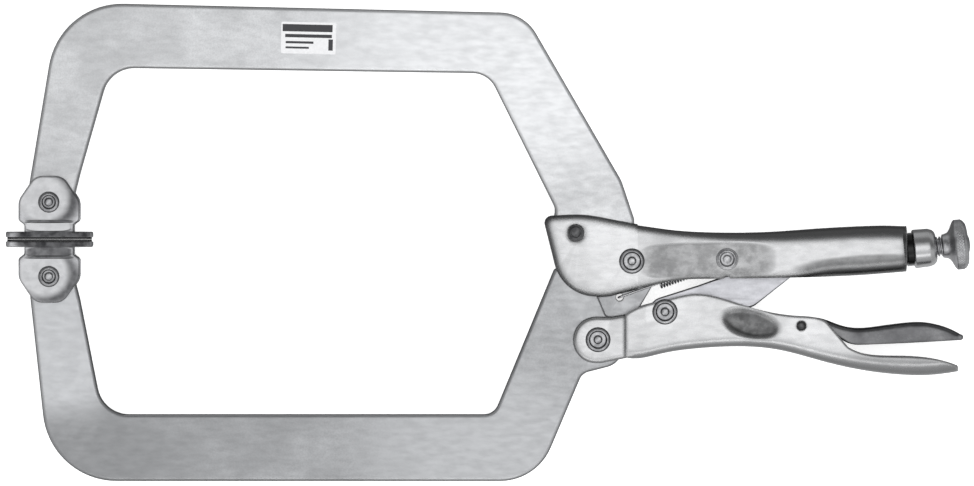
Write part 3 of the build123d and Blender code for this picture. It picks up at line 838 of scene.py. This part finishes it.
class CLAMP_OT_spring(bpy.types.Operator):
    """Wind the jaw spring with its two hooks"""
    bl_idname = "clamp.spring"
    bl_label = "Jaw spring"

    def execute(self, context):
        sizes = context.scene.clamp_sizes
        anchor = node_centre("spring_anchor_pin")
        anchor.z = JAW_PIVOT.z
        hook = JAW_PIVOT + Vector(SPRING_HOOK) * MM
        length = (anchor - hook).length
        run = (anchor - hook) / length
        up = Vector((0, 0, 1))
        side = up.cross(run)
        low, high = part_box("jaw_spring")
        coil_middle = ((low[0] + high[0]) / 2 - hook.x) / run.x
        half = (high[0] - low[0]) / 2 / run.x - COIL_MARGIN
        start, end = coil_middle - half, coil_middle + half
        path = [(d * MM, s * MM, u * MM) for d, s, u in SPRING_LEAD]
        total = sizes.coil_turns * COIL_STEPS
        for i in range(total + 1):
            angle = pi / 2 + 2 * pi * i / COIL_STEPS
            path.append((start + (end - start) * i / total, sizes.coil_radius * cos(angle),
                         sizes.coil_radius * sin(angle)))
        path += [(end + d * MM, s * MM, u * MM) for d, s, u in SPRING_EXIT]
        for i in range(EYE_STEPS + 1):
            angle = radians(EYE_START - EYE_SWEEP * i / EYE_STEPS)
            path.append((length + EYE_RADIUS * cos(angle), EYE_RADIUS * sin(angle), 0.0))
        points = [hook + run * d + side * s + up * u for d, s, u in path]
        mesh = tube("spring_coil", points, sizes.wire_radius)
        piece = link_piece("spring_coil", mesh, None)
        piece.data.materials.append(wire_metal())
        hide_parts("jaw_spring")
        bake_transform(piece)
        return {"FINISHED"}


class CLAMP_OT_patch(bpy.types.Operator):
    """Lay the plain marking patch with generic bars"""
    bl_idname = "clamp.patch"
    bl_label = "Marking patch"

    def execute(self, context):
        ink = print_ink("patch_ink", tuple(context.scene.clamp_finish.ink_colour))
        paint_node("marking_patch", print_ink("patch_ground", (0.84, 0.84, 0.85), 0.93))
        centre = node_centre("marking_patch")
        size = node_size("marking_patch")
        mesh = bpy.data.meshes.new("patch_marks")
        work = bmesh.new()
        for x, y, width, height in PATCH_BARS:
            place = (Matrix.Translation(centre + Vector((0, 0, size.z / 2 + INK_LIFT)))
                     @ Matrix.Rotation(PATCH_SLOPE, 4, "Z")
                     @ Matrix.Translation((x * size.x, y * size.y, 0))
                     @ Matrix.Diagonal((width * size.x, height * size.y, INK_THICKNESS, 1)))
            bmesh.ops.create_cube(work, size=1.0, matrix=place)
        work.to_mesh(mesh)
        work.free()
        piece = link_piece("patch_marks", mesh, "fixed_frame", smooth=False)
        piece.data.materials.append(ink)
        return {"FINISHED"}


class CLAMP_OT_stage(bpy.types.Operator):
    """Build the floor, the lights and the camera"""
    bl_idname = "clamp.stage"
    bl_label = "Stage"

    def execute(self, context):
        studio = context.scene.clamp_studio
        floor(studio)
        soft_lights()
        studio_world(context.scene)
        camera(context.scene, studio)
        return {"FINISHED"}


def floor(studio):
    """Plain pale floor under the tool."""
    half = studio.floor_size / 2
    mesh = bpy.data.meshes.new("floor")
    mesh.from_pydata([(-half, -half, 0), (half, -half, 0), (half, half, 0), (-half, half, 0)],
                     [], [(0, 1, 2, 3)])
    piece = bpy.data.objects.new("floor", mesh)
    bpy.context.scene.collection.objects.link(piece)
    piece.location.z = -FLOOR_DROP
    shader = Shader("floor_paint")
    tone = shader.mix(shader.between(shader.noise(FLOOR_CLOUDS, 2.0), 0.3, 0.7),
                      (0.90, 0.90, 0.90), (0.93, 0.93, 0.93))
    shader.link(tone, shader.surface.inputs["Base Color"])
    shader.surface.inputs["Roughness"].default_value = 0.85
    shader.link(tone, shader.surface.inputs["Emission Color"])
    shader.surface.inputs["Emission Strength"].default_value = studio.floor_glow
    mesh.materials.append(shader.material)
    piece.visible_glossy = False


def soft_lights():
    """Soft boxes above and in front, and a floor wash that the metal doesn't reflect."""
    for name, place, size, power, in_metal in SOFT_BOXES:
        lamp = bpy.data.lights.new(name, "AREA")
        lamp.shape = "RECTANGLE"
        lamp.size, lamp.size_y = size
        lamp.energy = power
        box = bpy.data.objects.new(name, lamp)
        bpy.context.scene.collection.objects.link(box)
        box.location = place
        target = Vector((place[0], 0, 0)) if in_metal else Vector()
        box.rotation_euler = (target - Vector(place)).to_track_quat("-Z", "Y").to_euler()
        box.visible_glossy = in_metal
        box.visible_camera = False


def studio_world(scene):
    """Soft sky: bright overhead, dark at the back, grey at the front, pale where it is seen."""
    world = bpy.data.worlds.new("studio")
    world.use_nodes = True
    tree = world.node_tree
    background = tree.nodes["Background"]
    place = tree.nodes.new("ShaderNodeTexCoord")
    parts = tree.nodes.new("ShaderNodeSeparateXYZ")
    tree.links.new(place.outputs["Generated"], parts.inputs["Vector"])

    def ramp(value, stops):
        """Smooth step from one strength to another over a span of a direction's share."""
        node = tree.nodes.new("ShaderNodeMapRange")
        node.interpolation_type = "SMOOTHSTEP"
        tree.links.new(value, node.inputs["Value"])
        for socket, number in zip(("From Min", "From Max", "To Min", "To Max"), stops):
            node.inputs[socket].default_value = number
        return node.outputs["Result"]

    def blend(factor, first, second):
        """Strength between two strengths."""
        node = tree.nodes.new("ShaderNodeMix")
        node.data_type = "FLOAT"
        tree.links.new(factor, node.inputs["Factor"])
        for socket, value in ((node.inputs[2], first), (node.inputs[3], second)):
            if isinstance(value, float):
                socket.default_value = value
            else:
                tree.links.new(value, socket)
        return node.outputs[0]

    height = tree.nodes.new("ShaderNodeMath")
    height.operation = "ABSOLUTE"
    tree.links.new(parts.outputs["Z"], height.inputs[0])
    side = ramp(parts.outputs["Y"], SIDE_RAMP)
    side = blend(ramp(height.outputs["Value"], HORIZON_RAMP), side, HORIZON_LIGHT)
    sky = blend(ramp(parts.outputs["Z"], OVERHEAD_RAMP), side, OVERHEAD_LIGHT)
    seen = tree.nodes.new("ShaderNodeLightPath")
    strength = blend(seen.outputs["Is Camera Ray"], sky, SEEN_LIGHT)
    tree.links.new(strength, background.inputs["Strength"])
    background.inputs["Color"].default_value = SKY_COLOUR
    scene.world = world


def camera(scene, studio):
    """Camera straight above the tool, with +Y at the top of the picture."""
    low, high = CAD_BOX
    lens = bpy.data.cameras.new("camera")
    eye = bpy.data.objects.new("camera", lens)
    scene.collection.objects.link(eye)
    middle = (Vector(low) + Vector(high)) / 2
    lens.sensor_width = SENSOR_WIDTH
    lens.lens = lens.sensor_width * studio.camera_height / studio.view_width
    lens.clip_start = NEAR_CLIP
    eye.location = (middle.x + VIEW_OFFSET[0], middle.y + VIEW_OFFSET[1],
                    middle.z + studio.camera_height)
    eye.rotation_euler = (0, 0, 0)
    scene.camera = eye
    scene.view_settings.view_transform = "Standard"


class CLAMP_PT_panel(bpy.types.Panel):
    """Lists the tool's pieces and settings"""
    bl_label = "Locking clamp pliers"
    bl_idname = "CLAMP_PT_panel"
    bl_space_type = "VIEW_3D"
    bl_region_type = "UI"
    bl_category = "Clamp"

    def draw(self, context):
        column = self.layout.column()
        for group in (context.scene.clamp_finish, context.scene.clamp_sizes,
                      context.scene.clamp_studio):
            for key in group.bl_rna.properties.keys():
                if key not in {"rna_type", "name"}:
                    column.prop(group, key)
        for operator in OPERATORS:
            column.operator(operator.bl_idname)


OPERATORS = (CLAMP_OT_jaws, CLAMP_OT_handles, CLAMP_OT_rivets, CLAMP_OT_pads, CLAMP_OT_screw,
             CLAMP_OT_spring, CLAMP_OT_patch, CLAMP_OT_stage)
GROUPS = (("clamp_finish", ClampFinish), ("clamp_sizes", ClampSizes),
          ("clamp_studio", ClampStudio))


def register():
    """Add the classes and the settings to Blender."""
    for name, group in GROUPS:
        bpy.utils.register_class(group)
        setattr(bpy.types.Scene, name, bpy.props.PointerProperty(type=group))
    for item in (*OPERATORS, CLAMP_PT_panel):
        bpy.utils.register_class(item)


def unregister():
    """Take the classes and the settings out again."""
    for item in (CLAMP_PT_panel, *reversed(OPERATORS)):
        bpy.utils.unregister_class(item)
    for name, group in reversed(GROUPS):
        delattr(bpy.types.Scene, name)
        bpy.utils.unregister_class(group)


def main():
    """Make every piece and the stage."""
    register()
    bpy.ops.clamp.jaws()
    bpy.ops.clamp.handles()
    bpy.ops.clamp.rivets()
    bpy.ops.clamp.pads()
    bpy.ops.clamp.screw()
    bpy.ops.clamp.spring()
    bpy.ops.clamp.patch()
    bpy.ops.clamp.stage()


if __name__ == "__main__":
    main()
